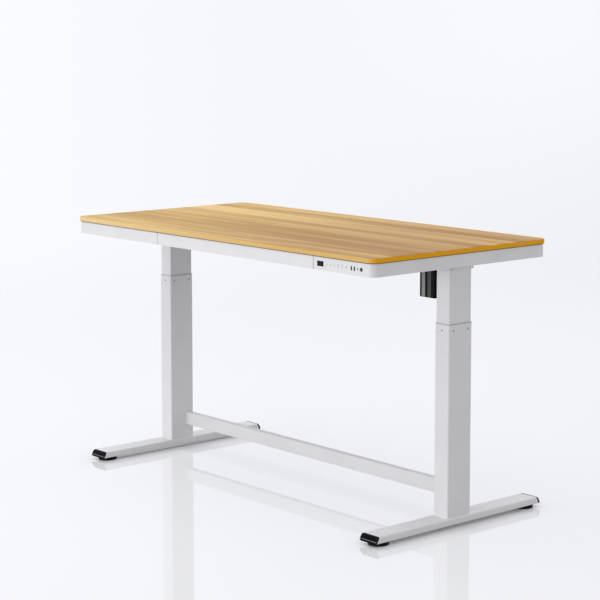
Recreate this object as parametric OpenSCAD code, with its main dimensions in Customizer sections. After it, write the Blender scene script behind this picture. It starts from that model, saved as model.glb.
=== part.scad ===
// Height adjustable standing desk: a wood-veneer top on a steel skirt frame, two telescopic
// columns lifted by one motor through a cross shaft, a shallow drawer and a control panel.
// Millimetres. Floor at z = 0, user's side towards -Y, user's right towards +X.

/* [Desktop] */
// Width of the top
top_w = 1400; // [1250:10:1800]
// Depth of the top
top_d = 700; // [660:10:900]
// Thickness of the top
top_t = 15; // [14:0.5:30]
// Plan radius of the top's corners
top_corner_r = 28; // [20:1:40]
// Rounding of the top's upper and lower edges
top_edge_r = 3.5; // [1:0.5:6]
// Height of the top surface above the floor at rest
desk_h = 802; // [780:1:860]

/* [Skirt frame] */
// Height of the skirt below the reveal
skirt_h = 36.3; // [36:0.1:60]
// How far the skirt stands back from the top's edge
skirt_inset = 3.5; // [2:0.5:12]
// Shadow gap between the skirt and the top
reveal = 1; // [0.8:0.1:3]
// Sheet thickness of the skirt
skirt_t = 2; // [1.5:0.1:3]
// Width of the skirt's folded lips
skirt_lip = 10; // [6:1:14]
// Plan radius of the skirt's corners
skirt_corner_r = 25; // [20:1:36]
// Left seam, between the fixed front panel and the drawer
seam_left = -266; // [-320:1:-200]
// Right seam, between the drawer and the control panel
seam_right = 456; // [420:1:464]
// Width of each visible seam
seam_gap = 1.5; // [0.6:0.1:3]
// Half length of the loose rear panel
rear_panel_half = 600; // [500:10:620]

/* [Columns] */
// Distance of each column's centre from the middle of the desk
col_x = 647.5; // [560:0.5:660]
// Distance of the columns behind the middle of the desk
col_y = 12.8; // [0:0.1:30]
// Outer tube, side to side
col_w = 56; // [52:0.5:70]
// Outer tube, front to back
col_d = 93; // [80:1:120]
// Corner radius of the outer tube
col_r = 5; // [4:0.5:10]
// Wall of the outer tube
col_wall = 1.5; // [1:0.1:1.7]
// Step from the outer tube's face to the inner tube's face
col_step = 2.5; // [2.4:0.1:4]
// Wall of the inner tube
inner_wall = 2; // [1.2:0.1:3]
// Top of the outer tube with its guide collar
col_top_z = 586; // [560:1:590]
// Travel below the rest height
lift_down = 82; // [60:1:90]
// Travel above the rest height
lift_up = 378; // [250:1:390]

/* [Lift drive] */
// Diameter of the lead screws
screw_d = 16; // [12:1:18]
// Length of the lift nuts
nut_l = 40; // [25:1:45]
// Outside diameter of the push tubes
push_d = 34; // [32:1:40]
// Wall of the push tubes
push_wall = 3.2; // [2:0.1:4]
// Width across flats of the cross shaft
shaft_af = 8; // [6:0.5:9]
// Gap between the motor cover and the right column
motor_gap = 1.5; // [1:0.5:60]
// Radius of the motor can
motor_r = 27; // [18:0.5:27]
// Bottom of the motor cover
motor_z0 = 654; // [620:1:690]

/* [Feet] */
// Width of each foot
foot_w = 65; // [50:1:80]
// Height of each foot
foot_h = 20.2; // [20:0.1:40]
// Edge radius of the feet
foot_r = 4; // [2:0.5:6]
// Wall of the feet
foot_wall = 2; // [1.5:0.1:3]
// Reach of the feet in front of the middle of the desk
foot_front = 315; // [250:1:320]
// Reach of the feet behind the middle of the desk
foot_rear = 350; // [300:1:350]
// Set-back of the feet's slanted ends, bottom to top
foot_slant = 9; // [2:0.5:12]
// Thickness of the end caps
cap_t = 5; // [2:0.5:8]
// Height of the glides
glide_h = 10.4; // [8:0.1:20]
// Diameter of the glides
glide_d = 60; // [36:1:60]
// Distance of the front glides in front of the middle of the desk
glide_front = 275; // [200:1:275]
// Distance of the rear glides behind the middle of the desk
glide_rear = 312; // [220:1:312]

/* [Crossbar] */
// Height of the crossbar
bar_h = 42.4; // [30:0.1:80]
// Depth of the crossbar, front to back
bar_t = 22; // [18:0.5:30]
// Bottom of the crossbar above the floor
bar_z0 = 75.4; // [50:0.1:300]
// Crossbar's front face behind the middle of the desk
bar_y0 = 27; // [0:0.5:28]

/* [Drawer] */
// Depth of the drawer tray
tray_d = 276; // [200:1:276]
// Height of the drawer tray
tray_h = 26; // [24:0.5:26]
// Wall of the drawer tray
tray_wall = 1.2; // [0.8:0.1:1.6]
// Width of each telescopic slide
slide_w = 12.7; // [12.7:0.1:16]
// Height of each telescopic slide
slide_h = 20; // [20:0.5:22]

/* [Control panel] */
// Width of the display window
display_w = 26; // [18:0.5:40]
// Height of the display window
display_h = 14.6; // [10:0.1:22]
// Left edge of the display, from the right seam
display_off = 16.6; // [10:0.1:30]
// Diameter of the power button
button_d = 10.4; // [7:0.1:14]
// Centre of the power button, in from the top's right edge
button_in = 48.6; // [45:0.1:60]
// Travel of the power button
button_travel = 0.8; // [0.4:0.1:1.2]
// Width of a USB-A opening (the ports stand upright)
usb_w = 5.6; // [5.2:0.1:6.2]
// Height of a USB-A opening
usb_h = 12.1; // [11.6:0.1:13]
// Distance between the two USB-A openings' centres
usb_pitch = 12.1; // [10:0.1:16]

/* [Hidden] */
$fn = 48;
eps = 0.01;
inf = 3000;

// Levels
top_z0 = desk_h - top_t;                 // underside of the top
skirt_z1 = top_z0 - reveal;              // skirt's upper edge
skirt_z0 = skirt_z1 - skirt_h;           // skirt's lower edge
head_t = 13;                             // column head plate
head_z1 = skirt_z0 + 2.3;                // its upper face, where the side arm stands
head_z0 = head_z1 - head_t;
foot_z0 = glide_h;
foot_z1 = foot_z0 + foot_h;
plate_t = 8;                             // base plate in the column's foot
plate_z1 = foot_z1 + plate_t;
shaft_z = head_z1 + 16;                  // axis of the cross shaft

// Skirt
skirt_w = top_w - 2 * skirt_inset;
skirt_d = top_d - 2 * skirt_inset;
skirt_y0 = -skirt_d / 2;                 // front face
skirt_in_y = skirt_y0 + skirt_t;         // front panel's inner face

// Columns
inner_w = col_w - 2 * col_step;
inner_d = col_d - 2 * col_step;
inner_z0 = plate_z1 + lift_down + 4;
collar_h = 2.5;                          // collar's rim above the outer tube
collar_skirt = 38;                       // its sleeve inside the tube
fit_gap = 0.3;                           // clearance between bodies
weld_gap = 0.05;                         // clearance between pieces of one body
peg_r = 2.2;
peg_drop = 18;
peg_side = 29.5;
peg_fit = 0.05;

// Lift drive
screw_r = screw_d / 2;
run_fit = 0.05;
screw_z0 = plate_z1 + lift_down + 3;
nut_z0 = screw_z0 + lift_up;
nut_flange = 7;
push_z1 = nut_z0 + nut_l - nut_flange;
push_r = push_d / 2;
journal_r = 6;
gear_seat_r = 3;
bearing_r = 13;
gear_r = 11;
gear_face = 4.5;
gear_gap = 0.4;
gear_teeth = 16;
gear_cone = gear_r - gear_face;
gear_back = 0.5;
shaft_r = shaft_af / 2 / cos(30);
case_fit = 0.08;
box_r = 17;                              // half width of a gearbox
box_h = 28;
box_wall = 1.5;
wheel_r = 13.5;
wheel_w = 10;
wheel_teeth = 30;
worm_r = 4.2;
worm_y = col_y - wheel_r - worm_r - 0.3;
worm_shaft_r = 3;
drive_case_z1 = head_z1 + 32;
cover_wall = 2;
cover_w = 2 * motor_r + 2 * cover_wall + 4;
cover_d = cover_w - 2;
motor_x = col_x - col_w / 2 - motor_gap - cover_w / 2;  // axis of the motor and the worm wheel
cover_r = 7;

// Side arms, welded under the top, and the two rails between them
arm_w = col_w;
arm_t = 2.5;
arm_y0 = -top_d / 2 + 50;
arm_y1 = top_d / 2 - 34;
arm_lip = 16;
arm_outer_lip = skirt_w / 2 - skirt_t - skirt_lip - 0.3 - (col_x + arm_w / 2);
rail_d = 30;
rail_h = 25;
rail_wall = 1.5;
rail_z1 = top_z0 - 2;
rail_front_y = -31;
rail_rear_y = 51;
rail_x = col_x - arm_w / 2;

// Drawer
side_t = 1.5;
housing_in = 3;                          // housing side, in from each seam
house_x0 = seam_left + housing_in;
house_x1 = seam_right - housing_in;
front_t = 14;                            // depth of the folded drawer front
tray_x0 = house_x0 + side_t + slide_w + 0.3;
tray_x1 = house_x1 - side_t - slide_w - 0.3;
tray_y0 = skirt_y0 + front_t;
tray_y1 = tray_y0 + tray_d;
tray_z0 = skirt_z0 + 5;
house_y1 = tray_y1 + 6;
slide_z0 = tray_z0 + 3;
slide_t = 1.2;
slide_gap = 0.35;
slide_l = tray_d - 6;

// Control panel, its items centred on the skirt's height
panel_z = (skirt_z0 + skirt_z1) / 2;
display_x = seam_right + display_off;
button_x = top_w / 2 - button_in;
usb_x = button_x - 39.7;                 // left USB-A port
usb_c_x = button_x - 15.1;
usb_c_w = 3;
usb_c_h = 7.5;
usb_depth = 12;
panel_fit = 0.1;
button_r = button_d / 2;
button_proud = 0.8;

// Screws into the top: x, y and the underside of what they hold
arm_screw_x = rail_x - arm_lip / 2;
house_lip = 14;
box_ear = 12;
ctrl_w = 180;
ctrl_d = 90;
ctrl_h = 34;
ctrl_x = 340;
ctrl_y = 130;
lip_t = 2;
top_screws = concat(
    [for (s = [-1, 1], y = [-250, -80, 140, 300]) [s * arm_screw_x, y * top_d / 700, lip_t]],
    [for (x = [house_x0 - house_lip / 2, house_x1 + house_lip / 2],
          y = [tray_y0 + 30, tray_y1 - 30]) [x, y, side_t]],
    [for (s = [-1, 1]) [ctrl_x + s * (ctrl_w + box_ear) / 2, ctrl_y, lip_t]]);
top_screw_r = 2.5;
top_screw_in = 11;

// ---------- shared shapes ----------

// Rounded rectangle centred on the origin
module round_rect(w, d, r) {
    square([w - 2 * r, d], center = true);
    square([w, d - 2 * r], center = true);
    for (sx = [-1, 1], sy = [-1, 1])
        translate([sx * (w / 2 - r), sy * (d / 2 - r)]) circle(r);
}

// Upright prism on a rounded rectangle
module round_bar(w, d, r, z0, z1) {
    translate([0, 0, z0]) linear_extrude(z1 - z0) round_rect(w, d, r);
}

// Upright rectangular tube
module round_tube(w, d, r, wall, z0, z1) {
    difference() {
        round_bar(w, d, r, z0, z1);
        round_bar(w - 2 * wall, d - 2 * wall, max(r - wall, 0.5), z0 - 1, z1 + 1);
    }
}

// Box from its low corner to its high corner
module span(a, b) {
    translate(a) cube(b - a);
}

// Round rod along X, Y or Z from a point
module rod_x(p, r, l) { translate(p) rotate([0, 90, 0]) cylinder(r = r, h = l); }
module rod_y(p, r, l) { translate(p) rotate([-90, 0, 0]) cylinder(r = r, h = l); }
module rod_z(p, r, l) { translate(p) cylinder(r = r, h = l); }

module at_column(s) { translate([s * col_x, col_y, 0]) children(); }

// ---------- feet ----------

// Foot's cross-section drawn along Y
module foot_bar(w, h, r, y0, y1) {
    translate([0, y0, foot_z0 + foot_h / 2]) rotate([-90, 0, 0])
        linear_extrude(y1 - y0) round_rect(w, h, r);
}

// The same, cut by two slanted planes
module foot_solid(w, h, r, y0, y1) {
    difference() {
        foot_bar(w, h, r, y0 - 20, y1 + 20);
        foot_end(y0, -1);
        foot_end(y1, 1);
    }
}

// Wedge beyond a foot's slanted end, s = -1 at the front and 1 at the rear
module foot_end(y, s) {
    drop = 5;
    far = 60;
    rise = foot_slant / foot_h;
    translate([-foot_w, 0, 0]) rotate([90, 0, 90]) linear_extrude(2 * foot_w)
        polygon([[y + s * drop * rise, foot_z0 - drop], [y + s * far, foot_z0 - drop],
                 [y + s * far, foot_z1 + drop], [y - s * (foot_h + drop) * rise, foot_z1 + drop]]);
}

// Space beyond a cap: its nose is upright below and slants back above
cap_nose = 7;
module cap_face(y, s) {
    over = 5;
    far = 60;
    rise = foot_slant / (foot_h - cap_nose);
    translate([-foot_w, 0, 0]) rotate([90, 0, 90]) linear_extrude(2 * foot_w)
        polygon([[y, foot_z0 - over], [y + s * far, foot_z0 - over], [y + s * far, foot_z1 + over],
                 [y - s * (foot_slant + over * rise), foot_z1 + over], [y, foot_z0 + cap_nose]]);
}

glide_stud_r = 4;
glide_boss_r = 8;
base_screw_x = 15;
base_screw_y = 32;

module foot(s) {
    color("gainsboro") translate([s * col_x, 0, 0]) difference() {
        union() {
            difference() {
                foot_solid(foot_w, foot_h, foot_r, cap_t - foot_front, foot_rear - cap_t);
                translate([0, -inf / 2, foot_z0 + foot_h / 2]) rotate([-90, 0, 0])
                    linear_extrude(inf)
                        round_rect(foot_w - 2 * foot_wall, foot_h - 2 * foot_wall,
                                   max(foot_r - foot_wall, 0.5));
            }
            for (y = [-glide_front, glide_rear])
                rod_z([0, y, foot_z0 + 0.5], glide_boss_r, foot_h - foot_wall - 2.5);
        }
        for (y = [-glide_front, glide_rear])
            rod_z([0, y, foot_z0 - 1], glide_stud_r + run_fit, foot_h - foot_wall);
        for (sx = [-1, 1], sy = [-1, 1])
            translate([sx * base_screw_x, col_y + sy * base_screw_y, 0]) {
                rod_z([0, 0, foot_z0 - 1], 8, foot_wall + 2);
                rod_z([0, 0, foot_z1 - foot_wall - 1], 4.2, foot_wall + 2);
            }
    }
}

module foot_left() { foot(-1); }
module foot_right() { foot(1); }

// End caps: a slanted ribbed face and a plug that fits the tube
module foot_end_caps() {
    plug = 14;
    ribs = 3;
    color("#1c1c1e") for (s = [-1, 1]) translate([s * col_x, 0, 0]) {
        for (e = [-1, 1]) {
            y_out = e < 0 ? -foot_front : foot_rear;
            y_in = y_out - e * cap_t;
            difference() {
                union() {
                    intersection() {
                        foot_bar(foot_w, foot_h, foot_r, y_out - 30, y_out + 30);
                        foot_end(y_in, e);
                    }
                    foot_bar(foot_w - 2 * foot_wall - 0.2, foot_h - 2 * foot_wall - 0.2,
                             max(foot_r - foot_wall, 0.5), min(y_in, y_in - e * plug),
                             max(y_in, y_in - e * plug));
                }
                cap_face(y_out, e);
                for (i = [1 : ribs])
                    let (k = i / (ribs + 1))
                        translate([0, y_out - e * k * foot_slant,
                                   foot_z0 + cap_nose + k * (foot_h - cap_nose)])
                            cube([foot_w - 12, 1.6, 1.4], center = true);
            }
        }
    }
}

// Levelling glide: moulded pad on a threaded stud
module glide(s, y) {
    pad_r = glide_d / 2;
    pad_h = glide_h - fit_gap;
    color("#161617") translate([s * col_x, y, 0]) {
        rotate_extrude() polygon([[0, 0], [pad_r - 1.2, 0], [pad_r, 1.2], [pad_r, pad_h * 0.55],
                                  [pad_r - 2.5, pad_h], [0, pad_h]]);
        rod_z([0, 0, pad_h - 1], glide_stud_r, foot_h - 5);
    }
}

module glide_front_left() { glide(-1, -glide_front); }
module glide_front_right() { glide(1, -glide_front); }
module glide_rear_left() { glide(-1, glide_rear); }
module glide_rear_right() { glide(1, glide_rear); }

// ---------- fixed parts of the columns ----------

module base_plates() {
    color("silver") for (s = [-1, 1]) at_column(s) difference() {
        round_bar(col_w - 2 * col_wall - 2 * weld_gap, col_d - 2 * col_wall - 2 * weld_gap,
                  col_r - col_wall, foot_z1, plate_z1);
        for (sx = [-1, 1], sy = [-1, 1])
            rod_z([sx * base_screw_x, sy * base_screw_y, foot_z1 - 1], 4, plate_t + 2);
    }
}

module base_screws() {
    head = 8;
    color("dimgray") for (s = [-1, 1], sx = [-1, 1], sy = [-1, 1]) at_column(s)
        translate([sx * base_screw_x, sy * base_screw_y, 0]) {
            difference() {
                rod_z([0, 0, foot_z1 - foot_wall - head], 6.5, head);
                translate([0, 0, foot_z1 - foot_wall - head - 1]) cylinder(r = 3.5, h = 5, $fn = 6);
            }
            rod_z([0, 0, foot_z1 - foot_wall - 1], 4, foot_wall + plate_t);
        }
}

module column_outer(s) {
    color("gainsboro") at_column(s) difference() {
        round_tube(col_w, col_d, col_r, col_wall, foot_z1, col_top_z - collar_h);
        collar_pegs(peg_r + peg_fit, 1);
    }
}

module column_outer_left() { column_outer(-1); }
module column_outer_right() { column_outer(1); }

// The collar's six pegs, which click into holes in the outer tube
module collar_pegs(r, over) {
    z = col_top_z - peg_drop;
    reach = col_wall + 0.3;
    for (sy = [-1, 1]) scale([1, sy, 1])
        rod_y([0, col_d / 2 - reach, z], r, reach + over);
    for (sx = [-1, 1], y = [-peg_side, peg_side]) scale([sx, 1, 1])
        rod_x([col_w / 2 - reach, y, z], r, reach + over);
}

module guide_collar(s) {
    sleeve_t = col_step - col_wall - weld_gap - fit_gap;
    color("#8d8d90") at_column(s) difference() {
        union() {
            round_bar(col_w, col_d, col_r, col_top_z - collar_h, col_top_z);
            round_bar(inner_w + 2 * (fit_gap + sleeve_t), inner_d + 2 * (fit_gap + sleeve_t),
                      col_r - col_wall, col_top_z - collar_h - collar_skirt, col_top_z);
            collar_pegs(peg_r, 0.2);
        }
        round_bar(inner_w + 2 * fit_gap, inner_d + 2 * fit_gap, col_r - col_step + fit_gap,
                  col_top_z - collar_skirt - 20, col_top_z + 1);
    }
}

module guide_collar_left() { guide_collar(-1); }
module guide_collar_right() { guide_collar(1); }

module push_tube(s) {
    color("lightgray") at_column(s) difference() {
        rod_z([0, 0, plate_z1], push_r, push_z1 - plate_z1);
        rod_z([0, 0, plate_z1 - 1], push_r - push_wall, push_z1 - plate_z1 + 2);
    }
}

module push_tube_left() { push_tube(-1); }
module push_tube_right() { push_tube(1); }

module lift_nut(s) {
    color("ivory") at_column(s) difference() {
        union() {
            rod_z([0, 0, nut_z0], push_r - push_wall - weld_gap, nut_l);
            rod_z([0, 0, push_z1], push_r, nut_flange);
        }
        rod_z([0, 0, nut_z0 - 1], screw_r + run_fit, nut_l + 2);
    }
}

module lift_nut_left() { lift_nut(-1); }
module lift_nut_right() { lift_nut(1); }

// ---------- crossbar ----------

bar_x = col_x - col_w / 2;
bar_mid_y = bar_y0 + bar_t / 2;
bar_mid_z = bar_z0 + bar_h / 2;
bar_wall = 1.5;
bar_bracket_l = 40;
bar_screw_z = 11;

module crossbar() {
    color("gainsboro") difference() {
        translate([-bar_x, bar_mid_y, bar_mid_z]) rotate([90, 0, 90]) linear_extrude(2 * bar_x)
            difference() {
                round_rect(bar_t, bar_h, 2.5);
                round_rect(bar_t - 2 * bar_wall, bar_h - 2 * bar_wall, 1);
            }
        for (s = [-1, 1], z = [-bar_screw_z, bar_screw_z])
            rod_y([s * (bar_x - bar_bracket_l / 2), bar_y0 + bar_t - bar_wall - 0.5, bar_mid_z + z],
                  3.1, bar_wall + 1);
    }
}

// Tubular tongues welded to the columns, inside the crossbar's ends
module crossbar_brackets() {
    w = bar_t - 2 * bar_wall - 0.4;
    h = bar_h - 2 * bar_wall - 0.4;
    wall = 3;
    color("silver") for (s = [-1, 1]) difference() {
        translate([s * bar_x - (s > 0 ? bar_bracket_l : 0), bar_mid_y, bar_mid_z])
            rotate([90, 0, 90]) linear_extrude(bar_bracket_l) difference() {
                round_rect(w, h, 1);
                round_rect(w - 2 * wall, h - 2 * wall, 0.5);
            }
        for (z = [-bar_screw_z, bar_screw_z])
            rod_y([s * (bar_x - bar_bracket_l / 2), bar_mid_y, bar_mid_z + z], 3, bar_t);
    }
}

module crossbar_screws() {
    color("silver") for (s = [-1, 1], z = [-bar_screw_z, bar_screw_z])
        translate([s * (bar_x - bar_bracket_l / 2), bar_y0 + bar_t, bar_mid_z + z]) difference() {
            union() {
                rod_y([0, 0, 0], 5.2, 1.6);
                translate([0, 1.6, 0]) rotate([-90, 0, 0]) cylinder(r1 = 5.2, r2 = 3.2, h = 1.2);
                rod_y([0, -8, 0], 3, 8.5);
            }
            translate([0, 1.2, 0]) rotate([-90, 0, 0]) cylinder(r = 2.3, h = 3, $fn = 6);
        }
}

// ---------- top ----------

// Plate with rounded corners and rounded upper and lower edges
module desktop() {
    r = top_edge_r;
    x = top_w / 2 - top_corner_r;
    y = top_d / 2 - top_corner_r;
    color("#c8a879") difference() {
        hull() for (sx = [-1, 1], sy = [-1, 1]) translate([sx * x, sy * y, top_z0])
            rotate_extrude($fn = 96) {
                square([top_corner_r - r, top_t]);
                for (z = [r, top_t - r]) translate([top_corner_r - r, z]) circle(r, $fn = 32);
            }
        for (p = top_screws) rod_z([p.x, p.y, top_z0 - 1], top_screw_r, top_screw_in + 1);
    }
}

// Foam strip that sets the shadow gap
module top_gasket() {
    in = 4;
    color("#4a4036") difference() {
        round_bar(skirt_w - 2 * in, skirt_d - 2 * in, skirt_corner_r - in, skirt_z1, top_z0);
        round_bar(skirt_w - 2 * (skirt_t + skirt_lip), skirt_d - 2 * (skirt_t + skirt_lip),
                  skirt_corner_r - skirt_t - skirt_lip, skirt_z1 - 1, top_z0 + 1);
        span([seam_left - seam_gap, -inf, 0], [seam_right + seam_gap, 0, inf]);
    }
}

// ---------- skirt ----------

// Full ring of the skirt: an upright web with two inward lips
module skirt_ring() {
    in_w = skirt_w - 2 * skirt_t;
    in_d = skirt_d - 2 * skirt_t;
    in_r = skirt_corner_r - skirt_t;
    difference() {
        round_bar(skirt_w, skirt_d, skirt_corner_r, skirt_z0, skirt_z1);
        round_bar(in_w, in_d, in_r, skirt_z0 + skirt_t, skirt_z1 - skirt_t);
        round_bar(in_w - 2 * skirt_lip, in_d - 2 * skirt_lip, in_r - skirt_lip,
                  skirt_z0 - 1, skirt_z1 + 1);
    }
}

module skirt_left() {
    color("gainsboro") intersection() {
        skirt_ring();
        union() {
            span([-inf, -inf, 0], [seam_left - seam_gap / 2, 0, inf]);
            span([-inf, -eps, 0], [-rear_panel_half - seam_gap / 2, inf, inf]);
        }
    }
}

module skirt_right() {
    z = panel_z;
    color("gainsboro") difference() {
        intersection() {
            skirt_ring();
            union() {
                span([seam_right + seam_gap / 2, -inf, 0], [inf, 0, inf]);
                span([rear_panel_half + seam_gap / 2, -eps, 0], [inf, inf, inf]);
            }
        }
        panel_cuts(panel_fit);
    }
}

// Cut-outs for the display, the ports and the button, each wider by a fit
module panel_cuts(f) {
    y0 = skirt_y0 - 1;
    y1 = skirt_in_y + 1;
    span([display_x - f, y0, panel_z - display_h / 2 - f],
         [display_x + display_w + f, y1, panel_z + display_h / 2 + f]);
    for (x = [usb_x, usb_x + usb_pitch])
        span([x - usb_w / 2 - f, y0, panel_z - usb_h / 2 - f],
             [x + usb_w / 2 + f, y1, panel_z + usb_h / 2 + f]);
    usb_c_slot(y0, y1, f);
    rod_y([button_x, y0, panel_z], button_r + f, y1 - y0);
}

// Upright round-ended slot
module usb_c_slot(y0, y1, f) {
    r = usb_c_w / 2 + f;
    h = usb_c_h / 2 - usb_c_w / 2;
    for (s = [-1, 1]) rod_y([usb_c_x, y0, panel_z + s * h], r, y1 - y0);
    span([usb_c_x - r, y0, panel_z - h], [usb_c_x + r, y1, panel_z + h]);
}

inlet_w = 30;
inlet_h = 22;

module rear_panel() {
    color("gainsboro") difference() {
        intersection() {
            skirt_ring();
            span([-rear_panel_half + seam_gap / 2, 0, 0], [rear_panel_half - seam_gap / 2, inf, inf]);
        }
        span([ctrl_x - inlet_w / 2 - panel_fit, -skirt_in_y - 1, panel_z - inlet_h / 2 - panel_fit],
             [ctrl_x + inlet_w / 2 + panel_fit, -skirt_y0 + 1, panel_z + inlet_h / 2 + panel_fit]);
    }
}

// ---------- side arms, rails and column heads ----------

// Channel that lies under the top, open upwards, with lips that screw to the top
module side_arm(s) {
    x = arm_w / 2;
    outer = arm_outer_lip;
    color("gainsboro") difference() {
        translate([s * col_x, 0, 0]) scale([s, 1, 1]) union() {
            span([-x, arm_y0, head_z1], [x, arm_y1, head_z1 + arm_t]);
            for (e = [-1, 1]) span([e < 0 ? -x : x - arm_t, arm_y0, head_z1],
                                   [e < 0 ? -x + arm_t : x, arm_y1, top_z0]);
            span([-x - arm_lip, arm_y0, top_z0 - lip_t], [-x + eps, arm_y1, top_z0]);
            span([x - eps, arm_y0, top_z0 - lip_t], [x + outer, arm_y1, top_z0]);
        }
        for (p = top_screws) rod_z([p.x, p.y, top_z0 - 5], top_screw_r + 0.2, 6);
        at_column(s) {
            rod_z([0, 0, head_z1 - 1], bearing_r + 1, arm_t + 2);
            head_bolt_places() rod_z([0, 0, head_z1 - 1], 4.2, arm_t + 2);
            rod_x([-x - 1, 0, shaft_z], shaft_r + 2, arm_t + 2);
        }
        if (s < 0) at_column(s) rod_x([x - arm_t - 1, 0, shaft_z], shaft_r + 2, arm_t + 2);
    }
}

module side_arm_left() { side_arm(-1); }
module side_arm_right() { side_arm(1); }

module frame_rail(y) {
    color("silver") translate([-rail_x, y, rail_z1 - rail_h / 2]) rotate([90, 0, 90])
        linear_extrude(2 * rail_x) difference() {
            round_rect(rail_d, rail_h, 2);
            round_rect(rail_d - 2 * rail_wall, rail_h - 2 * rail_wall, 0.8);
        }
}

module frame_rail_front() { frame_rail(rail_front_y); }
module frame_rail_rear() { frame_rail(rail_rear_y); }

head_bolt_x = 13;
head_bolt_y = 36;
module head_bolt_places() {
    for (sx = [-1, 1], sy = [-1, 1])
        translate([sx * head_bolt_x, sy * head_bolt_y, 0]) children();
}

// Plate welded on the inner tube: flush in front, wider on the outer side, with an ear behind
head_out = 5;
module column_head(s) {
    ear = 3;
    chamfer = 3;
    x_in = col_w / 2 - 1;
    x_near = inner_w / 2 + 1;
    x_out = col_w / 2 + min(head_out, arm_outer_lip - 0.5);
    y_front = -inner_d / 2 - 1;
    y_rear = inner_d / 2 + ear;
    color("gainsboro") at_column(s) scale([s, 1, 1]) difference() {
        translate([0, 0, head_z0]) linear_extrude(head_t)
            polygon([[-x_in, y_front], [x_near, y_front], [x_near, y_front + 8],
                     [x_out, y_front + 24], [x_out, y_rear - chamfer],
                     [x_out - chamfer, y_rear], [-x_in, y_rear]]);
        translate([-col_w, 0, 0]) rotate([90, 0, 90]) linear_extrude(2 * col_w)
            polygon([[y_rear - chamfer - 1, head_z0 - 1], [y_rear + 1, head_z0 - 1],
                     [y_rear + 1, head_z0 + chamfer + 1]]);
        rod_z([0, 0, head_z0 - 1], bearing_r, head_t + 2);
        head_bolt_places() rod_z([0, 0, head_z0 - 1], 4, head_t + 2);
    }
}

module column_head_left() { column_head(-1); }
module column_head_right() { column_head(1); }

module head_bolts() {
    color("dimgray") for (s = [-1, 1]) at_column(s) head_bolt_places() difference() {
        union() {
            rod_z([0, 0, head_z1 + arm_t], 6.5, 5);
            rod_z([0, 0, head_z0 + 0.5], 4, head_t + arm_t);
        }
        translate([0, 0, head_z1 + arm_t + 2]) cylinder(r = 3.5, h = 4, $fn = 6);
    }
}

module column_inner(s) {
    color("gainsboro") at_column(s)
        round_tube(inner_w, inner_d, col_r - col_step, inner_wall, inner_z0, head_z0);
}

module column_inner_left() { column_inner(-1); }
module column_inner_right() { column_inner(1); }

module screw_bearings() {
    color("silver") for (s = [-1, 1]) at_column(s) difference() {
        rod_z([0, 0, head_z0], bearing_r, head_t);
        rod_z([0, 0, head_z0 - 1], journal_r + run_fit, head_t + 2);
    }
}

// ---------- gearboxes, cross shaft and screws ----------

module gearbox(s) {
    z0 = head_z1 + arm_t;
    w = box_r - box_wall;
    color("darkgray") at_column(s) difference() {
        span([-box_r, -box_r, z0], [box_r, box_r, z0 + box_h]);
        span([-w, -w, z0 + box_wall], [w, w, z0 + box_h - box_wall]);
        rod_z([0, 0, z0 - 1], journal_r + 1, box_wall + 2);
        rod_x([-box_r - 1, 0, shaft_z], shaft_r + case_fit, 2 * box_r + 2);
    }
}

module gearbox_left() { gearbox(-1); }
module gearbox_right() { gearbox(1); }

// Bevel gear whose cone opens downwards from its apex at the origin
module bevel_gear() {
    difference() {
        union() {
            translate([0, 0, -gear_r])
                cylinder(r1 = gear_r - gear_gap, r2 = gear_cone - gear_gap, h = gear_face);
            rod_z([0, 0, -gear_r - gear_back], gear_r - gear_gap, gear_back + eps);
        }
        for (i = [0 : gear_teeth - 1]) rotate(i * 360 / gear_teeth)
            translate([gear_r - gear_face / 2 - gear_gap, 0, -gear_r + gear_face / 2])
                rotate([0, 45, 0]) cube([1.6, 1, gear_face * 2.4], center = true);
    }
}

// Lead screw with its journal and bevel gear
module lead_screw(s) {
    thread_z1 = head_z0 - 3;
    seat_z = shaft_z - gear_r - gear_back;
    color("silver") at_column(s) {
        rod_z([0, 0, screw_z0], screw_r, thread_z1 - screw_z0);
        rod_z([0, 0, thread_z1 - eps], journal_r, seat_z - thread_z1 + eps);
        translate([0, 0, shaft_z]) bevel_gear();
    }
}

module lead_screw_left() { lead_screw(-1); }
module lead_screw_right() { lead_screw(1); }

// Hexagonal shaft from one gearbox to the other, with a bevel gear in each
module cross_shaft() {
    x0 = -col_x + gear_cone - 1;
    x1 = col_x + box_r + 1;
    color("silver") translate([0, col_y, shaft_z]) {
        translate([x0, 0, 0]) rotate([0, 90, 0]) cylinder(r = shaft_r, h = x1 - x0, $fn = 6);
        for (s = [-1, 1]) translate([s * col_x, 0, 0]) rotate([0, -90, 0]) rotate(180 / gear_teeth)
            bevel_gear();
    }
}

// Worm wheel on the cross shaft
module worm_wheel() {
    color("ivory") translate([motor_x, col_y, shaft_z]) rotate([0, 90, 0]) difference() {
        translate([0, 0, -wheel_w / 2]) cylinder(r = wheel_r, h = wheel_w);
        translate([0, 0, -wheel_w]) cylinder(r = shaft_r, h = 2 * wheel_w, $fn = 6);
        for (i = [0 : wheel_teeth - 1]) rotate(i * 360 / wheel_teeth)
            translate([wheel_r, 0, 0]) cube([2.4, 1.4, wheel_w + 1], center = true);
    }
}

// Worm on the motor's shaft
module motor_worm() {
    turns = 7;
    pitch = 3;
    z0 = shaft_z - turns * pitch / 2;
    color("silver") translate([motor_x, worm_y, 0]) {
        rod_z([0, 0, head_z1 - 14], worm_shaft_r, drive_case_z1 - 2 - (head_z1 - 14));
        translate([0, 0, z0]) rotate_extrude() polygon(concat(
            [[0, 0]],
            [for (i = [0 : turns - 1], k = [0, 1, 2, 3])
                [k == 0 || k == 3 ? worm_r - 1 : worm_r, (i + [0.1, 0.35, 0.65, 0.9][k]) * pitch]],
            [[0, turns * pitch]]));
    }
}

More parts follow.
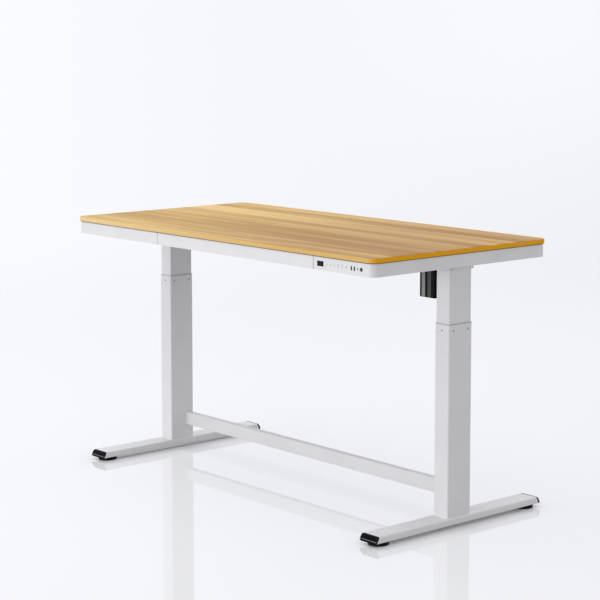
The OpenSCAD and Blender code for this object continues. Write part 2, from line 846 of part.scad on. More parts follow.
// Case round the worm and its wheel, held between the two rails
module drive_case() {
    hx = wheel_w / 2 + 1.5;
    wall = 2;
    y0 = worm_y - worm_r - 1.2;
    y1 = col_y + wheel_r + 1.2;
    front = rail_front_y + rail_d / 2;
    rear = rail_rear_y - rail_d / 2;
    color("darkgray") translate([motor_x, 0, 0]) difference() {
        union() {
            span([-hx - wall, y0 - wall, head_z1], [hx + wall, y1 + wall, drive_case_z1]);
            span([-20, front, drive_case_z1 - 4], [20, rear, drive_case_z1]);
        }
        span([-hx, y0, head_z1 + 1.5], [hx, y1, drive_case_z1 - 1.5]);
        rod_x([-hx - wall - 1, col_y, shaft_z], shaft_r + case_fit, 2 * (hx + wall + 1));
        rod_z([0, worm_y, head_z1 - 1], worm_shaft_r + run_fit, 4);
    }
}

module motor_can() {
    z1 = head_z1 - 1;
    color("dimgray") translate([motor_x, worm_y, 0]) difference() {
        union() {
            rod_z([0, 0, motor_z0 + cover_wall + 1], motor_r, z1 - 4 - motor_z0 - cover_wall - 1);
            rod_z([0, 0, z1 - 5], 9, head_z1 - z1 + 5);
        }
        rod_z([0, 0, head_z1 - 14.5], worm_shaft_r + run_fit, 16);
    }
}

// Moulded cover with upright flutes on its front and inner sides
module motor_cover() {
    flute_w = 6;
    flute_t = 1;
    color("#1a1a1b") translate([motor_x, worm_y, 0]) difference() {
        union() {
            round_bar(cover_w, cover_d, cover_r, motor_z0 + 2, head_z1);
            round_bar(cover_w - 3, cover_d - 3, cover_r - 1.5, motor_z0, motor_z0 + 3);
        }
        round_bar(cover_w - 2 * cover_wall, cover_d - 2 * cover_wall, cover_r - cover_wall,
                  motor_z0 + cover_wall, head_z1 + 1);
        for (e = [-1, 1])
            span([-flute_w / 2, e * cover_d / 2 - flute_t, motor_z0 - 1],
                 [flute_w / 2, e * cover_d / 2 + flute_t, head_z1 + 1]);
        for (e = [-1, 1], y = [-12, 12])
            span([e * cover_w / 2 - flute_t, y - flute_w / 2, motor_z0 - 1],
                 [e * cover_w / 2 + flute_t, y + flute_w / 2, head_z1 + 1]);
        span([lead_x1 - motor_x - lead_r - 0.6, cover_d / 2 - cover_wall - 1, head_z1 - 12],
             [lead_x1 - motor_x + lead_r + 0.6, cover_d / 2 + 1, head_z1 + 1]);
    }
}

// ---------- electrics ----------

module control_box() {
    x = ctrl_w / 2;
    y = ctrl_d / 2;
    z0 = top_z0 - ctrl_h;
    color("#202022") translate([ctrl_x, ctrl_y, 0]) difference() {
        union() {
            round_bar(ctrl_w, ctrl_d, 4, z0, top_z0);
            span([-x - box_ear, -10, top_z0 - lip_t], [x + box_ear, 10, top_z0]);
        }
        for (s = [-1, 1]) rod_z([s * (x + box_ear / 2), 0, top_z0 - 5], top_screw_r + 0.2, 6);
        for (i = [-4 : 4]) span([i * 12 - 2, -25, z0 - 1], [i * 12 + 2, 25, z0 + 1]);
        rod_x([x - 12, -20, lead_z], lead_r + 0.1, 14);
    }
}

// Two-pin appliance inlet in the rear panel
module power_inlet() {
    y1 = -skirt_y0;
    depth = 22;
    color("#19191a") translate([ctrl_x, 0, panel_z]) {
        difference() {
            union() {
                span([-inlet_w / 2, y1 - skirt_t, -inlet_h / 2], [inlet_w / 2, y1, inlet_h / 2]);
                span([-inlet_w / 2 - 0.8, y1 - depth, -inlet_h / 2],
                     [inlet_w / 2 + 0.8, y1 - skirt_t, inlet_h / 2]);
            }
            span([-11, y1 - 16, -6], [11, y1 + 1, 6]);
        }
        for (x = [-5, 5]) rod_y([x, y1 - 17, 0], 1.2, 8);
    }
}

// Lead from the control box, under the rear rail and down into the motor cover's rear corner
lead_r = 3;
lead_bend = 12;
lead_z = rail_z1 - rail_h - lead_r - 0.4;
lead_x1 = motor_x - cover_w / 2 + cover_wall + lead_r + 1.7;
lead_y1 = worm_y + cover_d / 2 - cover_wall - lead_r - 2;
module motor_lead() {
    b = lead_bend;
    x0 = ctrl_x + ctrl_w / 2 - 11;
    y0 = ctrl_y - 20;
    x1 = lead_x1;
    y1 = lead_y1;
    color("#222224") {
        rod_x([x0, y0, lead_z], lead_r, x1 - x0 - b);
        translate([x1 - b, y0 - b, lead_z]) rotate_extrude(angle = 90)
            translate([b, 0]) circle(lead_r);
        rod_y([x1, y1 + b, lead_z], lead_r, y0 - y1 - 2 * b);
        translate([x1, y1 + b, lead_z - b]) rotate([90, 0, -90]) rotate_extrude(angle = 90)
            translate([b, 0]) circle(lead_r);
        rod_z([x1, y1, head_z1 - 16], lead_r, lead_z - b - head_z1 + 16);
    }
}

module control_unit() {
    x1 = usb_x - usb_pitch;
    color("#202022")
        span([display_x - 6, skirt_in_y, panel_z - 12], [x1, skirt_in_y + 16, panel_z + 12]);
}

module display_window() {
    color("#0c0c0d") span([display_x, skirt_y0, panel_z - display_h / 2],
                          [display_x + display_w, skirt_in_y, panel_z + display_h / 2]);
}

// Block with two upright USB-A sockets and one small upright socket
module usb_ports() {
    x0 = usb_x - usb_w / 2 - 3;
    x1 = usb_c_x + usb_c_w / 2 + 2;
    t = 0.6;
    color("#2a2a2c") {
        difference() {
            union() {
                span([x0, skirt_in_y, panel_z - usb_h / 2 - 3],
                     [x1, skirt_in_y + usb_depth + 4, panel_z + usb_h / 2 + 3]);
                for (x = [usb_x, usb_x + usb_pitch])
                    span([x - usb_w / 2, skirt_y0 + 0.1, panel_z - usb_h / 2],
                         [x + usb_w / 2, skirt_in_y + 1, panel_z + usb_h / 2]);
                usb_c_slot(skirt_y0 + 0.1, skirt_in_y + 1, 0);
            }
            for (x = [usb_x, usb_x + usb_pitch])
                span([x - usb_w / 2 + t, skirt_y0 - 1, panel_z - usb_h / 2 + t],
                     [x + usb_w / 2 - t, skirt_y0 + usb_depth, panel_z + usb_h / 2 - t]);
            usb_c_slot(skirt_y0 - 1, skirt_y0 + 7, -t);
        }
        for (x = [usb_x, usb_x + usb_pitch])
            span([x - 0.4, skirt_y0 + 7, panel_z - usb_h / 2 + 1.4],
                 [x + 1.2, skirt_y0 + usb_depth + 0.5, panel_z + usb_h / 2 - 1.4]);
    }
}

button_flange_t = 1;
button_cavity = button_flange_t + button_travel + 0.6;
module button_housing() {
    h = button_r + 3;
    color("#2a2a2c") difference() {
        span([button_x - h, skirt_in_y, panel_z - h], [button_x + h, skirt_in_y + 12, panel_z + h]);
        rod_y([button_x, skirt_in_y - 1, panel_z], button_r + 1.5, button_cavity + 1);
        rod_y([button_x, skirt_in_y, panel_z], 2 + run_fit, 10.5);
    }
}

module power_button() {
    color("#3c3c3e") difference() {
        union() {
            rod_y([button_x, skirt_y0 - button_proud, panel_z], button_r, button_proud + skirt_t + 0.4);
            rod_y([button_x, skirt_in_y + 0.2, panel_z], button_r + 1, button_flange_t);
            rod_y([button_x, skirt_in_y + 0.5, panel_z], 2, 8.5);
        }
        translate([button_x, skirt_y0 - button_proud - 18.7, panel_z]) sphere(r = 19, $fn = 96);
    }
}

module desktop_screws() {
    color("dimgray") for (p = top_screws) translate([p.x, p.y, top_z0 - p.z]) difference() {
        union() {
            rod_z([0, 0, -2.6], 4.6, 2.6);
            rod_z([0, 0, -0.5], top_screw_r, p.z + top_screw_in - 0.5);
        }
        for (a = [0, 90]) rotate(a) translate([0, 0, -2.6]) cube([5, 1.1, 2.4], center = true);
    }
}

// ---------- drawer ----------

// Two side plates and a back plate, hung from the top
module drawer_housing() {
    z0 = slide_z0 - 2;
    color("silver") difference() {
        union() {
            span([house_x0, tray_y0 + 4, z0], [house_x0 + side_t, house_y1, top_z0]);
            span([house_x1 - side_t, tray_y0 + 4, z0], [house_x1, house_y1, top_z0]);
            span([house_x0, house_y1 - side_t, z0], [house_x1, house_y1, top_z0]);
            span([house_x0 - house_lip, tray_y0 + 4, top_z0 - side_t],
                 [house_x0 + eps, house_y1, top_z0]);
            span([house_x1 - eps, tray_y0 + 4, top_z0 - side_t],
                 [house_x1 + house_lip, house_y1, top_z0]);
        }
        for (p = top_screws) rod_z([p.x, p.y, top_z0 - 5], top_screw_r + 0.2, 6);
    }
}

// Channel of a slide, its web at x = 0 and its flanges towards +X
module slide_channel(h, w, t, y0, y1) {
    z = slide_z0 + slide_h / 2;
    span([0, y0, z - h / 2], [t, y1, z + h / 2]);
    for (s = [-1, 1]) span([0, y0, z + s * (h / 2 - t / 2) - t / 2],
                           [w, y1, z + s * (h / 2 - t / 2) + t / 2]);
}

// Places a left-hand slide member at both sides of the drawer
module both_sides() {
    translate([house_x0 + side_t, 0, 0]) children();
    translate([house_x1 - side_t, 0, 0]) scale([-1, 1, 1]) children();
}

slide_y0 = tray_y0 + 5;
mid_h = slide_h - 2 * (slide_t + slide_gap);
in_h = mid_h - 2 * (slide_t + slide_gap);

module slide_outers() {
    color("lightgray") both_sides()
        slide_channel(slide_h, slide_w - 1, slide_t, slide_y0, slide_y0 + slide_l);
}

module slide_middles() {
    color("silver") both_sides() translate([slide_t + slide_gap, 0, 0])
        slide_channel(mid_h, slide_w - slide_t - slide_gap - 1, slide_t, slide_y0, slide_y0 + slide_l - 2);
}

// Inner members, their webs screwed to the tray's sides
module slide_inners() {
    x = 2 * (slide_t + slide_gap);
    z = slide_z0 + slide_h / 2;
    color("lightgray") both_sides() translate([slide_w + 0.3, 0, 0]) scale([-1, 1, 1])
        slide_channel(in_h, slide_w + 0.3 - x, slide_t, slide_y0, slide_y0 + slide_l);
}

module drawer_tray() {
    color("gainsboro") difference() {
        span([tray_x0, tray_y0, tray_z0], [tray_x1, tray_y1, tray_z0 + tray_h]);
        span([tray_x0 + tray_wall, tray_y0 + tray_wall, tray_z0 + tray_wall],
             [tray_x1 - tray_wall, tray_y1 - tray_wall, tray_z0 + tray_h + 1]);
    }
}

// Folded front, open at the back
module drawer_front() {
    x0 = seam_left + seam_gap / 2;
    x1 = seam_right - seam_gap / 2;
    t = 1.5;
    fold = 10;
    color("gainsboro") difference() {
        span([x0, skirt_y0, skirt_z0], [x1, tray_y0, skirt_z1]);
        span([x0 + t, skirt_y0 + t, skirt_z0 + t], [x1 - t, tray_y0 - t, skirt_z1 - t]);
        span([x0 + fold, skirt_y0 + t, skirt_z0 + fold], [x1 - fold, tray_y0 + 1, skirt_z1 - fold]);
    }
}

foot_left();
foot_right();
foot_end_caps();
base_plates();
base_screws();
column_outer_left();
column_outer_right();
guide_collar_left();
guide_collar_right();
push_tube_left();
push_tube_right();
lift_nut_left();
lift_nut_right();
crossbar();
crossbar_brackets();
crossbar_screws();
glide_front_left();
glide_front_right();
glide_rear_left();
glide_rear_right();
desktop();
top_gasket();
skirt_left();
skirt_right();
rear_panel();
side_arm_left();
side_arm_right();
frame_rail_front();
frame_rail_rear();
column_head_left();
column_head_right();
column_inner_left();
column_inner_right();
screw_bearings();
gearbox_left();
gearbox_right();
drive_case();
motor_can();
motor_cover();
control_box();
power_inlet();
motor_lead();
control_unit();
display_window();
usb_ports();
button_housing();
head_bolts();
desktop_screws();
drawer_housing();
slide_outers();
slide_middles();
slide_inners();
drawer_tray();
drawer_front();
power_button();
lead_screw_left();
lead_screw_right();
cross_shaft();
worm_wheel();
motor_worm();
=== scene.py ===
import math

import bpy
from mathutils import Matrix, Vector


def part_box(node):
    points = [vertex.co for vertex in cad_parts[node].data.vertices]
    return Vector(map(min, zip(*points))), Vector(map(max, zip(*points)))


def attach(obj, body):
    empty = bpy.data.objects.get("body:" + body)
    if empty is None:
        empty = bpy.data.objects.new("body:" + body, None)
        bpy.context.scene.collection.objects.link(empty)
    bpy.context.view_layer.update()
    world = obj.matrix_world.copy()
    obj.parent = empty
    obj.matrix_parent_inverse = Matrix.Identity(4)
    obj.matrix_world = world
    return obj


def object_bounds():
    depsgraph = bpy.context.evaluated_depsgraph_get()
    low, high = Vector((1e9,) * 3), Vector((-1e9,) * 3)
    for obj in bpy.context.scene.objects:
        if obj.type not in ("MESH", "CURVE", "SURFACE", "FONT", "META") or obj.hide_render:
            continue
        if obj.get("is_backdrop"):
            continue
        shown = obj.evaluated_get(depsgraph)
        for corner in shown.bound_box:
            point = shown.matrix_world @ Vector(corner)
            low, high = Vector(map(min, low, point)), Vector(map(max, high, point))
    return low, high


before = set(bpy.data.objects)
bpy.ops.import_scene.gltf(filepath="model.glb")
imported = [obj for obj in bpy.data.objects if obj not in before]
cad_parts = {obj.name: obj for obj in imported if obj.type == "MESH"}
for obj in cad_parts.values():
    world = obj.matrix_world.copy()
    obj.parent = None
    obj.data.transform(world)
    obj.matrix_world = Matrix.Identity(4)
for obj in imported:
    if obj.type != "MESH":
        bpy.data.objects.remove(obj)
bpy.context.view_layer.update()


# ---------- camera ----------
# Stands a little right of the desk's front corner, at the height of a standing person's
# eyes, and looks slightly down on the top through a long lens.

camera_data = bpy.data.cameras.new("camera")
camera_data.lens = 109.45
camera_data.sensor_width = 36
camera_data.shift_y = -0.15
camera = bpy.data.objects.new("camera", camera_data)
camera.location = (4.2085, -3.6451, 1.4382)
camera.rotation_euler = (math.radians(90 - 5.995), 0, math.radians(49.102))
bpy.context.scene.collection.objects.link(camera)
bpy.context.scene.camera = camera


# ---------- studio ----------
# A pale glossy floor that runs out into an even, faintly blue backdrop, one wide softbox
# overhead, a large one in front and a weak one behind.


class Value:
    """One output of a shader's nodes. Arithmetic on it adds Math nodes behind it."""

    def __init__(self, recipe, socket):
        self.recipe = recipe
        self.socket = socket

    def out(self, name):
        """Another output of the same node."""
        return Value(self.recipe, self.socket.node.outputs[name])

    def maths(self, operation, *terms):
        return self.recipe.node("Math", {"operation": operation}, dict(enumerate(terms)))

    def __add__(self, other):
        return self.maths("ADD", self, other)

    def __sub__(self, other):
        return self.maths("SUBTRACT", self, other)

    def __rsub__(self, other):
        return self.maths("SUBTRACT", other, self)

    def __mul__(self, other):
        return self.maths("MULTIPLY", self, other)

    def __truediv__(self, other):
        return self.maths("DIVIDE", self, other)

    def __abs__(self):
        return self.maths("ABSOLUTE", self)

    __radd__ = __add__
    __rmul__ = __mul__

    def larger(self, other):
        return self.maths("MAXIMUM", self, other)

    def floor(self):
        return self.maths("FLOOR", self)

    def sine(self):
        return self.maths("SINE", self)

    def ramp(self, start, end):
        """0 at start and below, 1 at end and beyond, smooth in between."""
        return self.recipe.node("MapRange", {"interpolation_type": "SMOOTHSTEP"},
                                {0: self, 1: start, 2: end})

    def slope(self, start, end, first, last):
        """first at start and below, last at end and beyond, straight in between."""
        return self.recipe.node("MapRange", {}, {0: self, 1: start, 2: end, 3: first, 4: last})


class Recipe:
    """The nodes of one finish, or of the backdrop, and the one way to add to them."""

    def __init__(self, tree):
        self.tree = tree

    def node(self, kind, settings=None, sockets=None, out=0):
        made = self.tree.nodes.new("ShaderNode" + kind)
        for name, value in (settings or {}).items():
            setattr(made, name, value)
        for name, value in (sockets or {}).items():
            if isinstance(value, Value):
                self.tree.links.new(value.socket, made.inputs[name])
            else:
                made.inputs[name].default_value = value
        return Value(self, made.outputs[out])

    def blend(self, share, first, second):
        """Colour that goes from the first to the second as share goes from 0 to 1."""
        return self.node("Mix", {"data_type": "RGBA"}, {0: share, 6: first, 7: second}, out=2)

    def join(self, value, node_name, socket_name):
        self.tree.links.new(value.socket, self.tree.nodes[node_name].inputs[socket_name])


def swatch(red, green, blue):
    """A colour off a 0 to 255 chart, as the shaders want it."""
    parts = [c / 255 for c in (red, green, blue)]
    return tuple(c / 12.92 if c <= 0.04045 else ((c + 0.055) / 1.055) ** 2.4 for c in parts) + (1,)


bpy.context.scene.view_settings.view_transform = "Standard"

world = bpy.data.worlds.new("studio")
world.use_nodes = True
bpy.context.scene.world = world
air = Recipe(world.node_tree)
sight = air.node("TexCoord")
rightward = Vector((0.656, 0.755, 0))  # level, across the studio
faint_blue = (0.994, 1.0, 1.035)
ambient = (0.58, 0.58, 0.58, 1)
to_the_right = air.node("VectorMath", {"operation": "DOT_PRODUCT"}, {0: sight, 1: rightward}, out=1)
glow = to_the_right.slope(-0.2, 0.16, 0.975, 0.872)
level = air.node("SeparateXYZ", {}, {0: sight}).out("Z")
glow = glow + to_the_right.ramp(-0.05, 0.16) * level.ramp(-0.14, 0.0) * 0.07
backdrop = air.node("VectorMath", {"operation": "SCALE"}, {0: faint_blue, 3: glow})
ray = air.node("LightPath")
seen = ray.larger(ray.out("Is Glossy Ray"))
air.join(air.blend(seen, ambient, backdrop), "Background", "Color")

floor_reach = 9
floor_sides = 96
floor_mesh = bpy.data.meshes.new("studio_floor")
rim = [(floor_reach * math.cos(a), floor_reach * math.sin(a), 0)
       for a in (2 * math.pi * i / floor_sides for i in range(floor_sides))]
floor_mesh.from_pydata(rim, [], [list(range(floor_sides))])
floor = bpy.data.objects.new("studio_floor", floor_mesh)
bpy.context.scene.collection.objects.link(floor)
floor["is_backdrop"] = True

floor_material = bpy.data.materials.new("studio_floor")
floor_material.use_nodes = True
floor_mesh.materials.append(floor_material)
sheen = Recipe(floor_material.node_tree)
spot = sheen.node("TexCoord", out=3)
reach = sheen.node("VectorMath", {"operation": "LENGTH"}, {0: spot}, out=1)
to_the_left = sheen.node("VectorMath", {"operation": "DOT_PRODUCT"}, {0: spot, 1: -rightward}, out=1)
body_glow = to_the_left.slope(-1.2, 1.2, 0.635, 0.715)
path = sheen.node("LightPath")
body_glow = body_glow * (1 - path.out("Is Diffuse Ray") * 0.62)
# Painted shadow: ambient occlusion dims the floor's glow close under the feet and glides, as contact shadow.
painted_shadow_ao = sheen.node("AmbientOcclusion", {}, {"Distance": 0.1}, out="AO")
body_glow = body_glow * (0.2 + painted_shadow_ao * 0.8)
body_light = sheen.node("Emission", {}, {0: (*faint_blue, 1), 1: body_glow})
body_paint = sheen.node("BsdfDiffuse", {}, {0: (0.24, 0.24, 0.245, 1)})
body = sheen.node("AddShader", {}, {0: body_light, 1: body_paint})
mirror = sheen.node("BsdfAnisotropic", {}, {0: (0.97, 0.97, 0.97, 1), 1: 0.035})
polish = sheen.node("Fresnel", {}, {0: 1.5})
polished = sheen.node("MixShader", {}, {0: polish, 1: body, 2: mirror})
clear = sheen.node("BsdfTransparent")
underside = sheen.node("NewGeometry", out="Backfacing")
unseen = reach.ramp(2.0, 6.5).larger(underside)
fading = sheen.node("MixShader", {}, {0: unseen, 1: polished, 2: clear})
sheen.join(fading, "Material Output", "Surface")


def softbox(name, place, aim, width, height, watts, mirrored=True):
    """A rectangular studio light that shines on aim and isn't itself seen."""
    data = bpy.data.lights.new(name, "AREA")
    data.shape = "RECTANGLE"
    data.size = width
    data.size_y = height
    data.energy = watts
    light = bpy.data.objects.new(name, data)
    light.location = place
    light.rotation_euler = (Vector(aim) - Vector(place)).to_track_quat("-Z", "Y").to_euler()
    light.visible_camera = False
    light.visible_glossy = mirrored
    bpy.context.scene.collection.objects.link(light)


softbox("overhead_softbox", (-0.6, -0.4, 3.9), (0, 0, 0.5), 5.0, 4.0, 78)
softbox("front_softbox", (-1.2, -6.4, 0.95), (0, 0, 0.6), 3.6, 1.8, 124)
softbox("rear_softbox", (-0.2, 4.8, 2.6), (0, 0, 0.6), 3.0, 2.4, 64, mirrored=False)


# ---------- feet ----------
# Two flat rectangular steel tubes, cut on a slant at both ends, washed and powder coated in
# satin white. The coat has a very fine orange-peel and shows no seams.


class Finish(Recipe):
    """A material on one surface shader, put on CAD nodes or on new pieces."""

    def __init__(self, name):
        self.material = bpy.data.materials.new(name)
        self.material.use_nodes = True
        super().__init__(self.material.node_tree)
        self.shader = self.tree.nodes["Principled BSDF"]

    def place(self, x=1, y=1, z=1):
        """Where a point lies on the piece, in metres, stretched along each axis."""
        spot = self.node("TexCoord", out=3)
        return self.node("VectorMath", {"operation": "MULTIPLY"}, {0: spot, 1: (x, y, z)})

    def mottle(self, scale, detail=2.0, place=None):
        """Soft noise from 0 to 1 with this many patches to the metre."""
        return self.node("TexNoise", {}, {"Vector": place or self.place(), "Scale": scale,
                                          "Detail": detail})

    def height(self):
        """How high a point lies on the desk, in metres."""
        return self.node("SeparateXYZ", {}, {0: self.place()}).out("Z")

    def surface(self, **sockets):
        """Sets or links the shader's sockets, named with _ for a space."""
        for name, value in sockets.items():
            socket = self.shader.inputs[name.replace("_", " ")]
            if isinstance(value, Value):
                self.tree.links.new(value.socket, socket)
            else:
                socket.default_value = value

    def relief(self, height, depth, strength=1.0):
        """Bumps up to this deep, in metres, where height is 1."""
        self.surface(Normal=self.node("Bump", {}, {"Strength": strength, "Distance": depth,
                                                   "Height": height}))

    def coat(self, *nodes):
        for node in nodes:
            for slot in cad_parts[node].material_slots:
                slot.material = self.material


def powder_coat(name, pale, dim, roughness, peel):
    """Baked powder paint: two close tones in soft patches over a fine orange-peel."""
    paint = Finish(name)
    patches = paint.mottle(9, 3)
    paint.surface(**{"Base Color": paint.blend(patches.ramp(0.35, 0.65), dim, pale)},
                  Roughness=roughness + (paint.mottle(40) - 0.5) * 0.08)
    paint.relief(paint.mottle(1500, 1), peel)
    return paint


satin_white = powder_coat("satin_white_powder_coat", swatch(232, 232, 233), swatch(229, 229, 231),
                          0.42, 0.00002)
satin_white.coat("foot_left", "foot_right")


# ---------- end caps of the feet ----------
# Injection-moulded black ABS with a near gloss surface, pushed into the slanted ends of the
# feet. Three grooves run across each face, and a painted highlight runs along the crease below.

cap_black = Finish("gloss_black_cap")
nose_height = 0.007
crease_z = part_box("foot_end_caps")[0].z + nose_height
# Painted highlight: a pale, blotched line along the crease between the slanted face and the nose.
crease = 1 - abs(cap_black.height() - crease_z).ramp(0.0002, 0.0010)
painted_crease_highlight = crease * (0.5 + cap_black.mottle(60) * 0.4)
cap_black.surface(**{"Base Color": cap_black.blend(painted_crease_highlight, swatch(4, 4, 5), swatch(170, 170, 172)),
                     "Specular IOR Level": 0.08},
                  Roughness=0.2 + cap_black.mottle(220, 2) * 0.12)
cap_black.relief(cap_black.mottle(2500, 1), 0.00001)
cap_black.coat("foot_end_caps")


# ---------- levelling glides ----------
# Wide black discs moulded round a steel stud that screws into a boss in the foot. The
# moulding is smooth above and picks up dust and fine scuffs near the floor.

glide_black = Finish("moulded_glide")
scuffs = glide_black.mottle(700, 4) * (1 - glide_black.height().ramp(0.0005, 0.004))
glide_black.surface(**{"Base Color": glide_black.blend(scuffs * 0.5, swatch(5, 5, 6),
                                                       swatch(40, 39, 38)),
                       "Specular IOR Level": 0.08},
                    Roughness=0.22 + scuffs * 0.5)
glide_black.relief(glide_black.mottle(1800, 1), 0.000015)
glide_black.coat("glide_front_left", "glide_front_right", "glide_rear_left", "glide_rear_right")


# ---------- base plates and brackets ----------
# Laser-cut zinc plated steel inside each column's foot, and the two channels that take the
# crossbar. Zinc shows a faint spangle and a cool, slightly clouded shine.

zinc = Finish("zinc_plate")
spangle = zinc.node("TexVoronoi", {"feature": "F1"}, {"Vector": zinc.place(), "Scale": 260}).out("Color")
spangle_tone = zinc.node("SeparateColor", {}, {0: spangle})
cloud = zinc.mottle(35, 4)
zinc.surface(**{"Base Color": zinc.blend(spangle_tone * 0.6 + cloud * 0.4, swatch(196, 199, 204),
                                         swatch(222, 224, 227))},
             Roughness=0.26 + cloud * 0.2, Metallic=1.0)
zinc.relief(spangle_tone, 0.000006)
zinc.coat("base_plates", "crossbar_brackets", "push_tube_left", "push_tube_right")


# ---------- machine screws ----------
# Black-oxide socket screws under the feet, in the column heads and up into the top. The
# oxide is nearly black and rubs to bare steel on the highest edges.

black_oxide = Finish("black_oxide")
rub = black_oxide.mottle(900, 3).ramp(0.58, 0.75)
black_oxide.surface(**{"Base Color": black_oxide.blend(rub * 0.5, swatch(46, 46, 49),
                                                       swatch(120, 120, 124))},
                    Roughness=0.36 + black_oxide.mottle(300) * 0.15, Metallic=0.9)
black_oxide.relief(black_oxide.mottle(2200, 1), 0.00001)
black_oxide.coat("base_screws", "head_bolts", "desktop_screws")


# ---------- outer columns ----------
# Rectangular steel tubes, welded to the base plates and powder coated with the feet.

satin_white.coat("column_outer_left", "column_outer_right")


# ---------- guide collars ----------
# Acetal sleeves clipped into the mouth of each outer column, with a pale grey rim. Their snap
# pegs stand in holes just below it, where the grey is painted dark as shade in the holes.

collar_grey = Finish("moulded_grey_collar")
# Painted shade: below the rim the collar is coloured dark grey for the shade in the peg holes.
pegs_end, rim_start = 0.5805, 0.5825
collar_rim = collar_grey.height().ramp(pegs_end, rim_start) * (0.94 + collar_grey.mottle(120) * 0.06)
collar_grey.surface(**{"Base Color": collar_grey.blend(collar_rim, swatch(58, 58, 60),
                                                       swatch(188, 188, 190))},
                    Roughness=0.44 + collar_grey.mottle(300) * 0.1)
collar_grey.relief(collar_grey.mottle(1600, 1), 0.000012)
collar_grey.coat("guide_collar_left", "guide_collar_right")


# ---------- lift nuts and worm wheel ----------
# Turned from natural acetal: a waxy ivory with faint circular tool marks.

acetal = Finish("ivory_acetal")
tool_marks = acetal.node("TexWave", {"wave_type": "RINGS", "rings_direction": "Z"},
                         {"Vector": acetal.place(), "Scale": 900, "Distortion": 0.4})
acetal.surface(**{"Base Color": acetal.blend(acetal.mottle(90), swatch(232, 226, 208), swatch(240, 236, 222)),
                  "Subsurface Weight": 0.15}, Roughness=0.34 + tool_marks * 0.08)
acetal.relief(tool_marks, 0.000008)
acetal.coat("lift_nut_left", "lift_nut_right", "worm_wheel")


# ---------- crossbar ----------
# One rectangular tube between the columns, powder coated like them and held at each end by
# two countersunk screws through a bracket.

satin_white.coat("crossbar")
zinc.coat("crossbar_screws")


# ---------- inner columns and their heads ----------
# The telescoping tubes, each with a thick plate on top. The plate is fillet welded round the
# tube before coating, so the bead shows its ripples through the paint.

satin_white.coat("column_inner_left", "column_inner_right", "column_head_left", "column_head_right")


def make_piece(name, points, faces, body, slot, finish, smooth=False):
    """A new mesh in the desk's own frame that moves with a body."""
    mesh = bpy.data.meshes.new(name)
    mesh.from_pydata(points, [], faces)
    mesh.validate()
    mesh.update()
    mesh.polygons.foreach_set("use_smooth", [smooth] * len(mesh.polygons))
    mesh.materials.append(finish.material)
    piece = bpy.data.objects.new(name, mesh)
    bpy.context.scene.collection.objects.link(piece)
    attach(piece, body)
    return piece


def block(near, far):
    """Points and faces of a box between two opposite corners."""
    points = [(x, y, z) for x in (near.x, far.x) for y in (near.y, far.y) for z in (near.z, far.z)]
    return points, [(0, 1, 3, 2), (4, 6, 7, 5), (0, 4, 5, 1),
                    (2, 3, 7, 6), (0, 2, 6, 4), (1, 5, 7, 3)]


def round_rect_walk(width, depth, radius, step):
    """Points round a rounded rectangle, each with the direction that points out of it."""
    walk = []
    for turn in range(4):
        quarter = turn * math.pi / 2
        out = Vector((math.cos(quarter), math.sin(quarter)))
        along = Vector((-out.y, out.x))
        half_out = (width if turn % 2 == 0 else depth) / 2
        half_along = (depth if turn % 2 == 0 else width) / 2 - radius
        count = max(2, round(2 * half_along / step))
        for i in range(count):
            walk.append((out * half_out + along * (-half_along + 2 * half_along * i / count), out))
        corner = out * (half_out - radius) + along * half_along
        for i in range(6):
            angle = quarter + math.pi / 2 * i / 6
            way = Vector((math.cos(angle), math.sin(angle)))
            walk.append((corner + way * radius, way))
    return walk


bead_leg = 0.0032
sink = 0.0003
for side in ("left", "right"):
    tube_low, tube_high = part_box("column_inner_" + side)
    middle = (tube_low + tube_high) / 2
    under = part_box("column_head_" + side)[0].z
    walk = round_rect_walk(tube_high.x - tube_low.x, tube_high.y - tube_low.y, 0.003, 0.0011)
    points = []
    for i, (spot_on_tube, way) in enumerate(walk):
        ripple = 0.82 + 0.18 * abs(math.sin(i * 0.9))
        for out, down in ((-sink, -sink), (bead_leg, -sink), (bead_leg * 0.74 * ripple, 0.0008),
                          (bead_leg * 0.4 * ripple, bead_leg * 0.42), (0.0007, bead_leg * 0.8 * ripple),
                          (-sink, bead_leg)):
            flat = spot_on_tube + way * out
            points.append((middle.x + flat.x, middle.y + flat.y, under - down))
    count = len(walk)
    faces = []
    for i in range(count):
        after = (i + 1) % count
        faces += [[i * 6 + j, after * 6 + j, after * 6 + (j + 1) % 6, i * 6 + (j + 1) % 6]
                  for j in range(6)]
    make_piece("weld_bead_" + side, points, faces, "lift", "white_paint", satin_white, smooth=True)


# ---------- lead screws ----------
# Rolled steel trapezoidal screws with a coarse fast lead, bright and lightly greased. The
# thread is shown as relief on the plain rod.

rolled_steel = Finish("rolled_steel_screw")
screw_x, screw_y = 0.6475, 0.0128
pitch, starts = 0.004, 4
rod_part = rolled_steel.node("SeparateXYZ", {}, {0: rolled_steel.place()})
rod_side = rolled_steel.node("Math", {"operation": "ARCTAN2"},
                             {0: rod_part.out("Y") - screw_y, 1: abs(rod_part) - screw_x})
thread = (rod_part.out("Z") * (2 * math.pi / pitch) + rod_side * starts).sine()
grease = rolled_steel.mottle(55, 3)
rolled_steel.surface(**{"Base Color": rolled_steel.blend(grease, swatch(176, 177, 180),
                                                         swatch(205, 206, 208))},
                     Roughness=0.2 + grease * 0.18, Metallic=1.0)
rolled_steel.relief(thread.ramp(-0.4, 0.4), 0.0007)
rolled_steel.coat("lead_screw_left", "lead_screw_right")


# ---------- gearboxes, bearings and cross shaft ----------
# Die-cast aluminium housings with a grainy skin, ground bearing rings, and one hexagonal
# shaft with a bevel gear at each end that ties both columns together.

cast = Finish("die_cast_aluminium")
cast_grain = cast.mottle(420, 5)
cast.surface(**{"Base Color": cast.blend(cast_grain, swatch(150, 152, 156), swatch(178, 180, 184))},
             Roughness=0.46 + cast_grain * 0.16, Metallic=0.85)
cast.relief(cast_grain, 0.00006)
cast.coat("gearbox_left", "gearbox_right", "drive_case")

